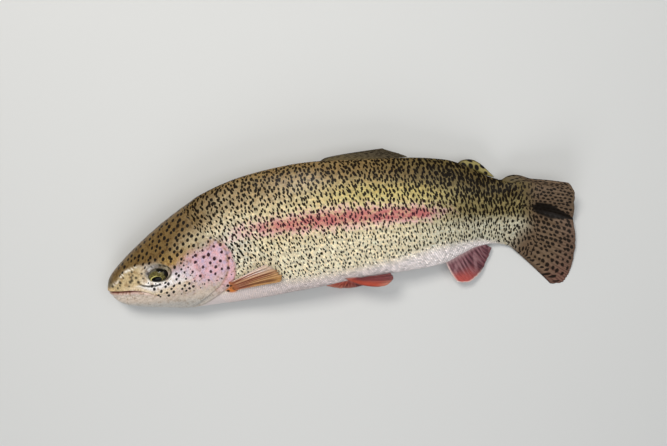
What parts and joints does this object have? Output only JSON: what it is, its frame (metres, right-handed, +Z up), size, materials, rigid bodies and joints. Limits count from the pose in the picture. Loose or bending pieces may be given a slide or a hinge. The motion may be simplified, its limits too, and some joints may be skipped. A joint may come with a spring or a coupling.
{
  "type": "rainbow trout",
  "caption": "Life-size rainbow trout lying on its right side, body gently curved, fins relaxed, left flank with its pink stripe facing up.",
  "frame": {"origin": "the middle of the fish's outline on the floor it lies on, at z = 0", "axes": "+X runs from the nose to the tail, +Y to the fish's back, and +Z up, to its left flank. It lies on its right side on small flats at z = 0."},
  "size_m": [0.4462, 0.1538, 0.0635],
  "materials": {
    "head_skin": "wet skin, olive-gold on the crown and silvery on the cheek, with round black spots",
    "jaw_skin": "wet skin, pale grey-pink",
    "gill_skin": "wet skin, silvery lilac-pink with large black spots",
    "flank_skin": "wet scales, olive back, yellow-cream flank with small black dashes, a pink-red stripe and a white belly",
    "back_skin": "wet skin, dark olive with black spots",
    "eye": "clear and glossy, a black pupil in a green-gold iris",
    "tail_fin": "wet fin, brown-olive with rows of black spots between the rays",
    "red_fin": "wet fin, orange-red with grey-purple rays",
    "orange_fin": "wet fin, orange-brown with a pale front edge"
  },
  "bodies": {
    "root": {"adipose_fin": "back_skin", "anal_fin": "red_fin", "dorsal_fin": "back_skin", "eye_left": "eye", "eye_right": "eye", "gill_cover_left": "gill_skin", "gill_cover_right": "gill_skin", "head": "head_skin", "lower_jaw": "jaw_skin", "pectoral_fin_left": "orange_fin", "pectoral_fin_right": "orange_fin", "pelvic_fin_left": "red_fin", "pelvic_fin_right": "red_fin", "tail_fin": "tail_fin", "tail_stalk": "back_skin", "trunk_front": "flank_skin", "trunk_rear": "flank_skin"}
  },
  "joints": []
}
